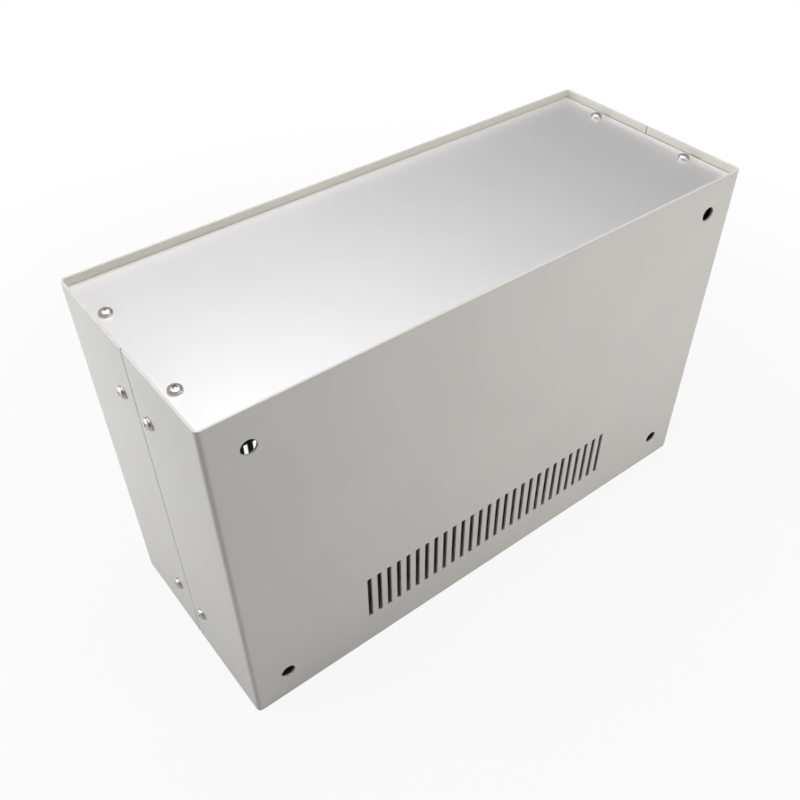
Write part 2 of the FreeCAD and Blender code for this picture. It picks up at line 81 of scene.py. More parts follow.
class CaseSizes(PropertyGroup):
    """Sizes of the case, the same as those of its solids."""

    case_length: length("Length", 300, "Outside length along X")
    case_depth: length("Depth", 118, "Outside depth along Y")
    case_height: length("Height", 190.5, "Outside height along Z")
    shell_sheet: length("Shell sheet", 1.1, "Thickness of the shells")
    shell_fold: length("Shell fold", 2.5, "Outside radius of the shell folds")
    shell_edge: length("Shell edge", 0.3, "Rounding of the painted cut edges")
    seam_gap: length("Seam gap", 0.6, "Gap between the two shells at the side seams")
    slot_count: IntProperty(
        name="Slots", description="Vent slots in each shell", default=28, min=1,
    )
    slot_pitch: length("Slot pitch", 6, "From one vent slot to the next")
    slot_width: length("Slot width", 2.6, "Width of a vent slot")
    slot_height: length("Slot height", 30.5, "Length of a vent slot along Z")
    slot_from_end: length("Slots from end", 20, "Rear rim to the vent slots")
    slot_corner: length("Slot corner", 0.4, "Corner radius of a vent slot")
    foot_hole: length("Foot hole", 7.5, "Diameter of the four foot holes")
    foot_from_side: length("Foot from side", 19, "Side face to foot hole centre")
    foot_from_end: length("Foot from end", 18.25, "Rim to foot hole centre")
    panel_plate: length("Panel plate", 2, "Thickness of the end panels")
    panel_setback: length("Panel setback", 4, "Rim down to the face of the panel")
    panel_end_gap: length("Panel end gap", 0.3, "Clearance between a panel and the short sides")
    panel_side_gap: length("Panel side gap", 0.1, "Clearance between a panel and the long sides")
    panel_edge: length("Panel edge", 0.1, "Rounding of the edges of a panel's face")
    panel_screw_from_side: length("Panel screw from side", 7, "Side face to panel screw axis")
    panel_screw_spread: length("Panel screw spread", 60, "Between the panel screws of one side")
    side_screw_spread: length("Side screw spread", 24, "Between the side screws of one pair")
    side_screw_from_end: length("Side screw from end", 30, "Rim to side screw axis")
    bracket_sheet: length("Bracket sheet", 1.5, "Thickness of the inner brackets")
    bracket_fold: length("Bracket fold", 2.5, "Outside radius of the bracket folds")
    bracket_margin: length("Bracket margin", 10, "Panel screw axis to the end of a bracket")
    bracket_flange: length("Bracket flange", 14, "Flange behind a panel, along X")
    screw_hole: length("Screw hole", 3.4, "Clearance hole for a screw")
    tapped_hole: length("Tapped hole", 3.1, "Hole in a bracket for the thread of a screw")
    punch_round: length("Punch rounding", 0.08, "Rounding of the edges of a punched hole")
    thread_size: length("Thread", 3, "Outside diameter of the screw thread")
    thread_pitch: length("Thread pitch", 0.5, "From one thread to the next")
    thread_depth: length("Thread depth", 0.3, "Crest down to root of the thread")
    screw_length: length("Screw length", 6, "Screw, under the head")
    screw_tip: length("Screw tip", 0.4, "Chamfer at the end of a screw")
    head_size: length("Head size", 6.2, "Diameter of a screw head")
    head_height: length("Head height", 2.2, "Height of a screw head")
    head_shoulder: length("Head shoulder", 1.5, "Radius at the shoulder of a screw head")
    head_crown: length("Head crown", 5.5, "Radius of the crown of a screw head")
    head_edge: length("Head edge", 0.2, "Rounding under the rim of a screw head")
    recess_length: length("Recess length", 3, "Cross recess, tip to tip at the crown")
    recess_arm: length("Recess arm", 0.85, "Width of a recess arm at the crown")
    recess_depth: length("Recess depth", 1.6, "Depth of the cross recess")
    recess_floor: length("Recess floor", 1, "Cross recess, tip to tip at its floor")
    recess_floor_arm: length("Recess floor arm", 0.5, "Width of a recess arm at its floor")


class CaseFinish(PropertyGroup):
    """Colours and gloss of the case."""

    paint_colour: colour("Paint", (0.68, 0.67, 0.635), "Colour of the shells' paint")
    # Inner paint is painted bounce light: the inner faces between the rims and the panels are
    # lighter and yellower than the outside, standing in for light bounced between the inner walls.
    painted_bounce_colour: colour("Inner paint", (0.74, 0.73, 0.66), "Colour of the coat inside the rims")
    # Primer is painted shade: a near-black colour on the inner faces behind the panels, standing
    # in for the shade in the gaps by the panels, the seams, the slots and the holes.
    painted_shade_colour: colour("Primer", (0.2, 0.2, 0.19), "Colour of the shells behind the panels")
    paint_roughness: share("Paint roughness", 0.42, "0 is gloss and 1 is matt")
    panel_colour: colour("Panels", (0.866, 0.856, 0.858), "Colour of the aluminium panels")
    panel_roughness: share("Panel roughness", 0.55, "0 is polished and 1 is dull")
    bracket_colour: colour("Brackets", (0.6, 0.61, 0.62), "Colour of the zinc-plated brackets")
    bracket_roughness: share("Bracket roughness", 0.34, "0 is polished and 1 is dull")
    screw_colour: colour("Screws", (0.72, 0.71, 0.69), "Colour of the nickel-plated screws")
    screw_roughness: share("Screw roughness", 0.42, "0 is polished and 1 is dull")


class CaseStage(PropertyGroup):
    """Light and camera of the studio."""

    left_light: power("Left light", 2.22, "Soft light at the left and behind")
    right_light: power("Right light", 1.26, "Soft light at the right and in front")
    top_light: power("Top light", 6.7, "Soft light overhead")
    back_light: power("Back light", 3.7, "Soft light overhead and behind")
    room_light: share("Room light", 0.05, "Even light from all around")
    floor_shade: share("Floor", 0.5, "How light the floor is to the things that it lights")
    focal_length: FloatProperty(
        name="Focal length", description="Focal length of the camera",
        subtype="DISTANCE_CAMERA", default=40.7, min=1,
    )


# Node trees


class Value:
    """A number in a node tree. Python's operators add Math nodes."""

    def __init__(self, tree, socket):
        self.tree = tree
        self.socket = socket

    def math(self, operation, *others):
        return self.tree.math(operation, self, *others)

    def __add__(self, other):
        return self.math("ADD", other)

    __radd__ = __add__

    def __sub__(self, other):
        return self.math("SUBTRACT", other)

    def __rsub__(self, other):
        return self.tree.math("SUBTRACT", other, self)

    def __mul__(self, other):
        return self.math("MULTIPLY", other)

    __rmul__ = __mul__

    def __truediv__(self, other):
        return self.math("DIVIDE", other)

    def __rtruediv__(self, other):
        return self.tree.math("DIVIDE", other, self)

    def __mod__(self, other):
        return self.math("FLOORED_MODULO", other)

    def __gt__(self, other):
        return self.math("GREATER_THAN", other)

    def __lt__(self, other):
        return self.math("LESS_THAN", other)

    def __abs__(self):
        return self.math("ABSOLUTE")

    def __neg__(self):
        return self * -1

    def floor(self):
        return self.math("FLOOR")

    def clamp(self):
        """The number, held between 0 and 1."""
        return self.math("MAXIMUM", 0).math("MINIMUM", 1)


class Tree:
    """Adds nodes to one shader or geometry tree."""

    def __init__(self, node_tree):
        self.nodes = node_tree.nodes
        self.links = node_tree.links

    def node(self, kind, settings=None, inputs=None):
        """A node of a type, its settings first and then the values or links of its sockets."""
        made = self.nodes.new(kind)
        for name, setting in (settings or {}).items():
            setattr(made, name, setting)
        for name, value in (inputs or {}).items():
            self.feed(made.inputs[name], value)
        return made

    def feed(self, socket, value):
        if isinstance(value, Value):
            self.links.new(value.socket, socket)
        elif isinstance(value, bpy.types.NodeSocket):
            self.links.new(value, socket)
        elif value is not None:
            socket.default_value = value

    def math(self, operation, *values):
        made = self.node("ShaderNodeMath", {"operation": operation}, dict(enumerate(values)))
        return Value(self, made.outputs[0])

    def vector(self, operation, *values, output=0):
        made = self.node("ShaderNodeVectorMath", {"operation": operation}, dict(enumerate(values)))
        return made.outputs[output]

    def scaled(self, vector, factor):
        made = self.node(
            "ShaderNodeVectorMath", {"operation": "SCALE"}, {0: vector, "Scale": factor}
        )
        return made.outputs[0]

    def combine(self, x=0, y=0, z=0):
        return self.node("ShaderNodeCombineXYZ", None, {0: x, 1: y, 2: z}).outputs[0]

    def parts(self, vector):
        """The X, Y and Z of a vector."""
        made = self.node("ShaderNodeSeparateXYZ", None, {0: vector})
        return [Value(self, part) for part in made.outputs]

    def blend(self, factor, low, high):
        """A colour between two others."""
        made = self.node("ShaderNodeMix", {"data_type": "RGBA"}, {0: factor, 6: low, 7: high})
        return made.outputs[2]

    def ramp(self, value, low, high):
        """0 up to low, 1 from high, and smooth in between."""
        made = self.node(
            "ShaderNodeMapRange",
            {"interpolation_type": "SMOOTHSTEP"},
            {"Value": value, "From Min": low, "From Max": high},
        )
        return Value(self, made.outputs[0])


# Finishes

WHITE = (1, 1, 1, 1)

# The darker clouds of a mottled finish fade out between these two levels of the noise.
CLOUD_FADE = (0.3, 0.7)

# The shells' outer coat reaches this share of the way through the sheet, just short of the inner
# faces, so that the whole outer curve of a fold has it. Past it, the inner faces carry painted
# bounce light and painted shade.
OUTER_COAT_REACH = 0.95

# The share of the orange peel in the relief of the paint. Its fine grain makes up the rest.
PEEL_SHARE = 0.7


def opaque(colour):
    return (*colour, 1)


class Surface(Tree):
    """A material with one Principled shader, whose patterns read the piece's own coordinates."""

    def __init__(self, name, **constants):
        self.material = bpy.data.materials.new(name)
        self.material.use_nodes = True
        super().__init__(self.material.node_tree)
        self.nodes.clear()
        self.shader = self.node("ShaderNodeBsdfPrincipled", None, constants)
        output = self.node("ShaderNodeOutputMaterial")
        self.links.new(self.shader.outputs[0], output.inputs["Surface"])
        self.place = self.node("ShaderNodeTexCoord").outputs["Object"]

    def grain(self, size, detail=2, stretch=None):
        """Noise from 0 to 1 whose blobs are about as large as size, in metres."""
        place = self.place
        if stretch:
            place = self.vector("MULTIPLY", place, stretch)
        made = self.node(
            "ShaderNodeTexNoise", None, {"Vector": place, "Scale": 1 / size, "Detail": detail}
        )
        return Value(self, made.outputs[0])

    def mottle(self, colour, size, darkest):
        """The colour, with soft clouds of a given size that are darker by a factor."""
        tone = [part * darkest for part in colour]
        clouds = self.ramp(self.grain(size), *CLOUD_FADE)
        return self.blend(clouds, opaque(tone), opaque(colour))

    def coat(self, base, roughness, grain, swing):
        """Sets the colour, and a roughness that swings about its value with a grain."""
        self.feed(self.shader.inputs["Base Color"], base)
        self.feed(self.shader.inputs["Roughness"], roughness + (grain - 0.5) * swing)

    def relief(self, height, depth, strength):
        """Raises the surface by a height from 0 to 1, times depth in metres."""
        made = self.node(
            "ShaderNodeBump", None, {"Strength": strength, "Distance": depth, "Height": height}
        )
        self.feed(self.shader.inputs["Normal"], made.outputs[0])


def satin_paint(finish, sizes):
    """Stove-enamelled paint with a soft orange peel. Inside the rims it is lighter and yellower, a
    painted bounce light, and behind the panels it is near-black, a painted shade."""
    paint = Surface("satin_paint")
    peel = paint.grain(size=1.6 * MM, detail=1)
    fine = paint.grain(size=0.35 * MM)
    x, y, z = paint.parts(paint.place)
    coat = sizes.shell_sheet * OUTER_COAT_REACH
    within_ends = abs(x) < sizes.case_length / 2 - coat
    within_sides = abs(y) < sizes.case_depth / 2 - coat
    middle = sizes.case_height / 2
    # Painted shade: behind the panels the inner faces are near-black, which darkens the gap lines
    # by the panels and what shows through the seams, slots and holes.
    painted_shade_zone = abs(z - middle) < middle - sizes.panel_setback
    outside = paint.mottle(finish.paint_colour, size=45 * MM, darkest=0.975)
    # Painted bounce light between the rims and the panels, and painted shade behind the panels.
    inside = paint.blend(
        painted_shade_zone, opaque(finish.painted_bounce_colour), opaque(finish.painted_shade_colour)
    )
    base = paint.blend(within_ends * within_sides, outside, inside)
    paint.coat(base, finish.paint_roughness, fine, swing=0.12)
    height = peel * PEEL_SHARE + fine * (1 - PEEL_SHARE)
    paint.relief(height, depth=0.03 * MM, strength=0.35)
    return paint.material


def satin_aluminium(finish):
    """Bead-blasted and anodised plate."""
    plate = Surface("satin_aluminium", Metallic=1)
    blast = plate.grain(size=0.28 * MM, detail=3)
    base = plate.mottle(finish.panel_colour, size=30 * MM, darkest=0.985)
    plate.coat(base, finish.panel_roughness, blast, swing=0.1)
    plate.relief(blast, depth=0.01 * MM, strength=0.3)
    return plate.material


def zinc_plate(finish):
    """Bright zinc on cold-rolled sheet, with the faint lines of the rolling."""
    zinc = Surface("zinc_plate", Metallic=1)
    lines = zinc.grain(size=0.5 * MM, detail=3, stretch=(1, 0.04, 1))
    base = zinc.mottle(finish.bracket_colour, size=12 * MM, darkest=0.92)
    zinc.coat(base, finish.bracket_roughness, lines, swing=0.16)
    zinc.relief(lines, depth=0.01 * MM, strength=0.25)
    return zinc.material


def nickel_plate(finish):
    """Nickel on a cold-headed screw."""
    nickel = Surface("nickel_plate", Metallic=1)
    fine = nickel.grain(size=0.2 * MM)
    base = nickel.mottle(finish.screw_colour, size=2 * MM, darkest=0.93)
    nickel.coat(base, finish.screw_roughness, fine, swing=0.1)
    nickel.relief(fine, depth=0.004 * MM, strength=0.3)
    return nickel.material


# Solids from Geometry Nodes

# Facets of a quarter turn at a rounded rim, and of the largest round corner in an outline.
EDGE_STEPS = 4
CORNER_STEPS = 12

# A rounded corner gets one facet more for each length of radius like this.
CORNER_FACET = 0.25 * MM

# Neighbouring facets meet smoothly below this angle.
SHARP_ANGLE = math.radians(35)

# Points nearer to each other than this are one.
SAME_PLACE = 0.002 * MM

# How far a punch stands clear of the sheet on both sides.
PUNCH_REACH = 0.5 * MM


def corner_curve(corners, closed=True):
    """A curve object through (x, y, radius) corners; its points carry the radii."""
    data = bpy.data.curves.new("corners", "CURVE")
    data.dimensions = "3D"
    spline = data.splines.new("POLY")
    spline.points.add(len(corners) - 1)
    for point, (x, y, radius) in zip(spline.points, corners):
        point.co = (x, y, 0, 1)
        point.radius = radius
    spline.use_cyclic_u = closed
    return bpy.data.objects.new("corners", data)


def place_points(places):
    """A mesh object with one point for each (place, Euler turn)."""
    data = bpy.data.meshes.new("places")
    data.from_pydata([place for place, turn in places], [], [])
    turns = data.attributes.new("turn", "FLOAT_VECTOR", "POINT")
    for item, (place, turn) in zip(turns.data, places):
        item.vector = turn
    return bpy.data.objects.new("places", data)


class Solid(Tree):
    """A Geometry Nodes tree that makes one mesh with one material."""

    def __init__(self, name):
        self.group = bpy.data.node_groups.new(name, "GeometryNodeTree")
        super().__init__(self.group)
        self.start = self.node("NodeGroupInput")
        self.given = {}
        self.helpers = []
        self.index = Value(self, self.node("GeometryNodeInputIndex").outputs[0])
        self.position = self.node("GeometryNodeInputPosition").outputs[0]

    def setting(self, name, value, kind="Float"):
        """A named input of the tree, and the value that it gets."""
        socket = self.group.interface.new_socket(
            name=name, in_out="INPUT", socket_type="NodeSocket" + kind
        )
        self.given[socket.identifier] = value
        made = self.start.outputs[name]
        return made if kind == "Object" else Value(self, made)

    def geometry_of(self, name, object_):
        """The geometry of a helper object that is an input of the tree."""
        self.helpers.append(object_)
        chosen = self.setting(name, object_, "Object")
        return self.node("GeometryNodeObjectInfo", None, {"Object": chosen}).outputs["Geometry"]

    def rounded_outline(self, name, corners):
        """The closed curve of an outline, with its corners rounded."""
        curve = self.geometry_of(name, corner_curve(corners))
        radius = Value(self, self.node("GeometryNodeInputRadius").outputs[0])
        steps = (radius / CORNER_FACET + EDGE_STEPS).math("MINIMUM", CORNER_STEPS).floor()
        made = self.node(
            "GeometryNodeFilletCurve",
            {"mode": "POLY"},
            {"Curve": curve, "Count": steps, "Radius": radius, "Limit Radius": True},
        )
        return made.outputs[0]

    def outward(self):
        """The direction out of a curve that runs anticlockwise."""
        along = self.node("GeometryNodeInputTangent").outputs[0]
        return self.vector("NORMALIZE", self.vector("CROSS_PRODUCT", along, (0, 0, 1)))

    def sample(self, geometry, field, index):
        made = self.node(
            "GeometryNodeSampleIndex",
            {"data_type": "FLOAT_VECTOR", "domain": "POINT"},
            {"Geometry": geometry, "Value": field, "Index": index},
        )
        return made.outputs[0]

    def moved(self, geometry, position=None, offset=None):
        made = self.node(
            "GeometryNodeSetPosition",
            None,
            {"Geometry": geometry, "Position": position, "Offset": offset},
        )
        return made.outputs[0]

    def grid(self, columns, rows):
        """A grid's mesh, and the column and the row of its points."""
        mesh = self.node(
            "GeometryNodeMeshGrid", None, {"Vertices X": columns, "Vertices Y": rows}
        ).outputs["Mesh"]
        # The half keeps the number of a column's first point from rounding down.
        column = ((self.index + 0.5) / rows).floor()
        return mesh, column, self.index - column * rows

    def welded(self, *meshes):
        """The meshes as one, with the points that meet made one."""
        join = self.node("GeometryNodeJoinGeometry")
        for mesh in meshes:
            self.links.new(mesh, join.inputs[0])
        weld = {"Geometry": join.outputs[0], "Distance": SAME_PLACE}
        return self.node("GeometryNodeMergeByDistance", None, weld).outputs[0]

    def bar(self, outline, length, first_edge, last_edge, reach=0):
        """A prism on an outline, from the XY plane up to its length.

        An edge radius above 0 rounds the rim at that end, and one below 0 flares it. The reach
        carries both ends straight on, so that a punch stands clear of its sheet.
        """
        size = self.node("GeometryNodeAttributeDomainSize", {"component": "CURVE"}, {0: outline})
        count = Value(self, size.outputs["Point Count"])
        # The first end, the points of both rims and the last end. The halves below keep a row's
        # number clear of the limit that it's compared with.
        rows = 1 + 2 * (EDGE_STEPS + 1) + 1
        mesh, column, row = self.grid(count + 1, rows)

        first_turn = ((row - 1) / EDGE_STEPS).clamp() * (math.pi / 2)
        last_turn = ((rows - 2 - row) / EDGE_STEPS).clamp() * (math.pi / 2)
        first_inset = first_edge * (1 - first_turn.math("SINE"))
        last_inset = last_edge * (1 - last_turn.math("SINE"))
        first_rise = abs(first_edge) * (1 - first_turn.math("COSINE"))
        last_fall = abs(last_edge) * (1 - last_turn.math("COSINE"))
        upper = row > EDGE_STEPS + 1.5
        height = first_rise + upper * (length - abs(first_edge) - last_fall)
        height = height + ((row > rows - 1.5) - (row < 0.5)) * reach

        corner = column % count
        out = self.outward()
        foot = self.sample(outline, self.position, corner)
        inset = self.scaled(self.sample(outline, out, corner), -(first_inset + last_inset))
        side = self.vector("ADD", foot, inset)
        side = self.moved(mesh, position=self.vector("ADD", side, self.combine(z=height)))

        caps = []
        for edge, level in ((first_edge, -reach), (last_edge, length + reach)):
            rim = self.moved(outline, offset=self.scaled(out, -edge))
            cap = self.node("GeometryNodeFillCurve", {"mode": "NGONS"}, {0: rim}).outputs[0]
            caps.append(self.moved(cap, offset=self.combine(z=level)))
        caps[0] = self.node("GeometryNodeFlipFaces", None, {0: caps[0]}).outputs[0]
        return self.welded(side, *caps)

    def repeated(self, mesh, points):
        """The mesh at every point, turned by the point's own angles."""
        angles = self.node(
            "GeometryNodeInputNamedAttribute", {"data_type": "FLOAT_VECTOR"}, {"Name": "turn"}
        ).outputs["Attribute"]
        turn = self.node("FunctionNodeEulerToRotation", None, {0: angles}).outputs[0]
        copies = {"Points": points, "Instance": mesh, "Rotation": turn}
        made = self.node("GeometryNodeInstanceOnPoints", None, copies).outputs[0]
        return self.node("GeometryNodeRealizeInstances", None, {0: made}).outputs[0]

    def cut(self, mesh, tool):
        made = self.node(
            "GeometryNodeMeshBoolean",
            {"operation": "DIFFERENCE", "solver": "MANIFOLD"},
            {"Mesh 1": mesh, "Mesh 2": tool},
        )
        return self.welded(made.outputs[0])

    def make(self, name, mesh, material, placement=Matrix()):
        """Ends the tree with the mesh, and turns it into a plain piece of the scene."""
        smooth = self.node("GeometryNodeSetShadeSmooth", None, {"Geometry": mesh})
        angle = Value(self, self.node("GeometryNodeInputMeshEdgeAngle").outputs["Unsigned Angle"])
        sharp = self.node(
            "GeometryNodeStoreNamedAttribute",
            {"data_type": "BOOLEAN", "domain": "EDGE"},
            {"Geometry": smooth.outputs[0], "Name": "sharp_edge", "Value": angle > SHARP_ANGLE},
        )
        whole = self.node("GeometryNodeRealizeInstances", None, {0: sharp.outputs[0]})
        coated = self.node(
            "GeometryNodeSetMaterial", None, {"Geometry": whole.outputs[0], "Material": material}
        )
        self.group.interface.new_socket(
            name="Mesh", in_out="OUTPUT", socket_type="NodeSocketGeometry"
        )
        self.node("NodeGroupOutput", None, {0: coated.outputs[0]})

        draft = bpy.data.objects.new(name, bpy.data.meshes.new(name))
        bpy.context.scene.collection.objects.link(draft)
        modifier = draft.modifiers.new("Build", "NODES")
        modifier.node_group = self.group
        for identifier, value in self.given.items():
            modifier[identifier] = value
        draft.modifiers.new("Flat faces stay flat", "WEIGHTED_NORMAL").keep_sharp = True
        graph = bpy.context.evaluated_depsgraph_get()
        finished = bpy.data.meshes.new_from_object(draft.evaluated_get(graph))
        if not finished.polygons:
            raise RuntimeError(f"{name} has no faces")
        # The grids that the tree starts from have no material, which leaves an empty first slot.
        finished.materials.pop(index=0)
        draft.modifiers.clear()
        finished.name = name
        finished.transform(placement)
        draft.data = finished
        for helper in self.helpers:
            bpy.data.objects.remove(helper)
        bpy.data.node_groups.remove(self.group)
        return draft


# Sheets

# Turns that send a punch in through a channel's web or one of its legs, or up through a plate.
WEB = (-math.pi / 2, 0, 0)
LEFT_LEG = (0, math.pi / 2, 0)
RIGHT_LEG = (0, -math.pi / 2, 0)
PLATE = (0, 0, 0)

# A round hole is a square whose corners are nearly as round as they can be.
ROUND = 0.999


def channel_corners(span, leg, sheet, fold, edge=0):
    """The section of a folded channel: its web on the X axis and its legs towards +Y."""
    half = span / 2
    inner = half - sheet
    inner_fold = fold - sheet
    return (
        (-half, leg, edge), (-half, 0, fold),
        (half, 0, fold), (half, leg, edge),
        (inner, leg, edge), (inner, sheet, inner_fold),
        (-inner, sheet, inner_fold), (-inner, leg, edge),
    )


def rectangle_corners(width, height, radius):
    x = width / 2
    y = height / 2
    return ((-x, -y, radius), (x, -y, radius), (x, y, radius), (-x, y, radius))


def round_corners(diameter):
    return rectangle_corners(diameter, diameter, diameter / 2 * ROUND)


def make_sheet(name, material, section, length, edges, thickness, punches, rounding, placement):
    """A sheet of one section along its length, with holes punched through.

    Each of the punches is a name, its outline and its places with their turns.
    """
    tree = Solid(name)
    outline = tree.rounded_outline("Section", section)
    sheet = tree.bar(
        outline,
        tree.setting("Length", length),
        tree.setting("First edge", edges[0]),
        tree.setting("Last edge", edges[1]),
    )
    depth = tree.setting("Sheet", thickness)
    flare = -tree.setting("Punch rounding", rounding)
    for label, corners, places in punches:
        hole = tree.rounded_outline(label, corners)
        punch = tree.bar(hole, depth, flare, flare, PUNCH_REACH)
        points = tree.geometry_of(label + " places", place_points(places))
        sheet = tree.cut(sheet, tree.repeated(punch, points))
    return tree.make(name, sheet, material, placement)


def axes(x_axis, y_axis, z_axis, origin):
    """The matrix that takes the axes to the given directions and the origin to a place."""
    turn = Matrix((x_axis, y_axis, z_axis)).transposed().to_4x4()
    return Matrix.Translation(origin) @ turn


def hand_over(piece, slot, *nodes):
    """Gives a finished piece to the frame, in place of the nodes."""
    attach(piece, "root")
    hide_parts(*nodes)


def vent_slots(sizes):
    """The row of vent slots in the web of a shell."""
    slot = rectangle_corners(sizes.slot_width, sizes.slot_height, sizes.slot_corner)
    up = sizes.slot_from_end + sizes.slot_height / 2
    middle = (sizes.slot_count - 1) / 2
    places = [
        (((count - middle) * sizes.slot_pitch, 0, up), WEB) for count in range(sizes.slot_count)
    ]
    return "Slot", slot, places


def side_screw_holes(sizes):
    """The clearance holes in the two legs of a shell."""
    from_web = (sizes.case_depth - sizes.side_screw_spread) / 2
    low = sizes.side_screw_from_end
    places = [
        ((side * sizes.case_length / 2, from_web, height), turn)
        for side, turn in ((LEFT, LEFT_LEG), (RIGHT, RIGHT_LEG))
        for height in (low, sizes.case_height - low)
    ]
    return "Screw hole", round_corners(sizes.screw_hole), places


def foot_holes(sizes):
    """The four holes for feet, in the web of the base only."""
    out = sizes.case_length / 2 - sizes.foot_from_side
    low = sizes.foot_from_end
    places = [
        ((side * out, 0, height), WEB)
        for side in (LEFT, RIGHT) for height in (low, sizes.case_height - low)
    ]
    return "Foot hole", round_corners(sizes.foot_hole), places


class CASE_OT_shells(Operator):
    """Make the two folded and punched shells"""

    bl_idname = "case.shells"
    bl_label = "Make the Shells"

    def execute(self, context):
        sizes = context.scene.case_sizes
        paint = satin_paint(context.scene.case_finish, sizes)
        flange = (sizes.case_depth - sizes.seam_gap) / 2
        section = channel_corners(
            sizes.case_length, flange, sizes.shell_sheet, sizes.shell_fold, sizes.shell_edge
        )
        vented = [vent_slots(sizes), side_screw_holes(sizes)]
        footed = [*vented, foot_holes(sizes)]
        half_depth = sizes.case_depth / 2
        near = axes((1, 0, 0), (0, 1, 0), (0, 0, 1), (0, -half_depth, 0))
        far = axes((-1, 0, 0), (0, -1, 0), (0, 0, 1), (0, half_depth, 0))
        for name, node, punches, placement in (
            ("vented_base", "base_shell", footed, near),
            ("vented_cover", "cover_shell", vented, far),
        ):
            shell = make_sheet(
                name, paint, section, sizes.case_height, (sizes.shell_edge, sizes.shell_edge),
                sizes.shell_sheet, punches, sizes.punch_round, placement,
            )
            hand_over(shell, "shell_paint", node)
        return {"FINISHED"}


class CASE_OT_panels(Operator):
    """Make the two end panels"""

    bl_idname = "case.panels"
    bl_label = "Make the End Panels"

    def execute(self, context):
        sizes = context.scene.case_sizes
        aluminium = satin_aluminium(context.scene.case_finish)
        end_inset = sizes.shell_sheet + sizes.panel_end_gap
        side_inset = sizes.shell_sheet + sizes.panel_side_gap
        section = rectangle_corners(
            sizes.case_length - end_inset * 2,
            sizes.case_depth - side_inset * 2,
            sizes.shell_fold - end_inset,
        )
        out = sizes.case_length / 2 - sizes.panel_screw_from_side
        across = sizes.panel_screw_spread / 2
        places = [((x, y, 0), PLATE) for x in (-out, out) for y in (-across, across)]
        punches = [("Screw hole", round_corners(sizes.screw_hole), places)]
        seat = sizes.panel_setback + sizes.panel_plate
        for name, node, placement in (
            ("front_plate", "front_panel",
             axes((1, 0, 0), (0, 1, 0), (0, 0, 1), (0, 0, sizes.case_height - seat))),
            ("rear_plate", "rear_panel", axes((1, 0, 0), (0, -1, 0), (0, 0, -1), (0, 0, seat))),
        ):
            panel = make_sheet(
                name, aluminium, section, sizes.panel_plate, (0, sizes.panel_edge),
                sizes.panel_plate, punches, sizes.punch_round, placement,
            )
            hand_over(panel, "panel_aluminium", node)
        return {"FINISHED"}


class CASE_OT_brackets(Operator):
    """Make the two inner side brackets"""

    bl_idname = "case.brackets"
    bl_label = "Make the Side Brackets"

    def execute(self, context):
        sizes = context.scene.case_sizes
        zinc = zinc_plate(context.scene.case_finish)
        span = sizes.case_height - (sizes.panel_setback + sizes.panel_plate) * 2
        width = sizes.panel_screw_spread + sizes.bracket_margin * 2
        section = channel_corners(
            span, sizes.bracket_flange, sizes.bracket_sheet, sizes.bracket_fold
        )
        up = sizes.case_height / 2 - sizes.side_screw_from_end
        across = sizes.side_screw_spread / 2
        web_places = [
            ((x, 0, width / 2 + z), WEB) for x in (-up, up) for z in (-across, across)
        ]
        from_web = sizes.panel_screw_from_side - sizes.shell_sheet
        spread = sizes.panel_screw_spread / 2
        leg_places = [
            ((side * span / 2, from_web, width / 2 + z), turn)
            for side, turn in ((LEFT, LEFT_LEG), (RIGHT, RIGHT_LEG)) for z in (-spread, spread)
        ]
        tapped = round_corners(sizes.tapped_hole)
        punches = [("Web hole", tapped, web_places), ("Flange hole", tapped, leg_places)]
        web_out = sizes.case_length / 2 - sizes.shell_sheet
        for name, side in (("left_side_channel", LEFT), ("right_side_channel", RIGHT)):
            origin = (side * web_out, side * width / 2, sizes.case_height / 2)
            placement = axes((0, 0, 1), (-side, 0, 0), (0, -side, 0), origin)
            bracket = make_sheet(
                name, zinc, section, width, (0, 0),
                sizes.bracket_sheet, punches, 0, placement,
            )
            node = name.replace("channel", "bracket")
            hand_over(bracket, "bracket_zinc", node)
        return {"FINISHED"}


# Screws

# Columns round a screw, facets of each arc of its head and rows to one turn of its thread.
SCREW_COLUMNS = 40
ARC_STEPS = 6
THREAD_ROWS = 8

# Turn of each screw's cross recess about its axis, in degrees, one step more for each screw.
RECESS_TURN_STEP = 37

# The cutter of a recess starts this far above the crown.
RECESS_ABOVE = 0.2 * MM


def arc(centre, radius, start, end, steps):
    """Points of an arc between two angles, in radians."""
    angles = (start + (end - start) * step / steps for step in range(steps + 1))
    return [
        (centre[0] + radius * math.cos(angle), centre[1] + radius * math.sin(angle))
        for angle in angles
    ]


def screw_profile(sizes):
    """Radius and height from the top of the crown down to the tip; the head's seat is at 0."""
    shoulder_out = sizes.head_size / 2 - sizes.head_shoulder
    crown_up = sizes.head_height - sizes.head_crown
    reach = sizes.head_crown - sizes.head_shoulder
    lean = math.acos(shoulder_out / reach)
    shoulder_up = crown_up + reach * math.sin(lean)
    crown = arc((0, crown_up), sizes.head_crown, math.pi / 2, lean, ARC_STEPS)
    shoulder = arc((shoulder_out, shoulder_up), sizes.head_shoulder, lean, 0, ARC_STEPS)
    edge = sizes.head_edge
    under = arc((sizes.head_size / 2 - edge, edge), edge, 0, -math.pi / 2, EDGE_STEPS)
    shank = sizes.thread_size / 2
    threaded = sizes.screw_length - sizes.screw_tip
    rows = round(threaded / sizes.thread_pitch * THREAD_ROWS)
    return [
        *crown, *shoulder[1:], *under,
        *((shank, -threaded * row / rows) for row in range(rows + 1)),
        (shank - sizes.screw_tip, -sizes.screw_length), (0, -sizes.screw_length),
    ]


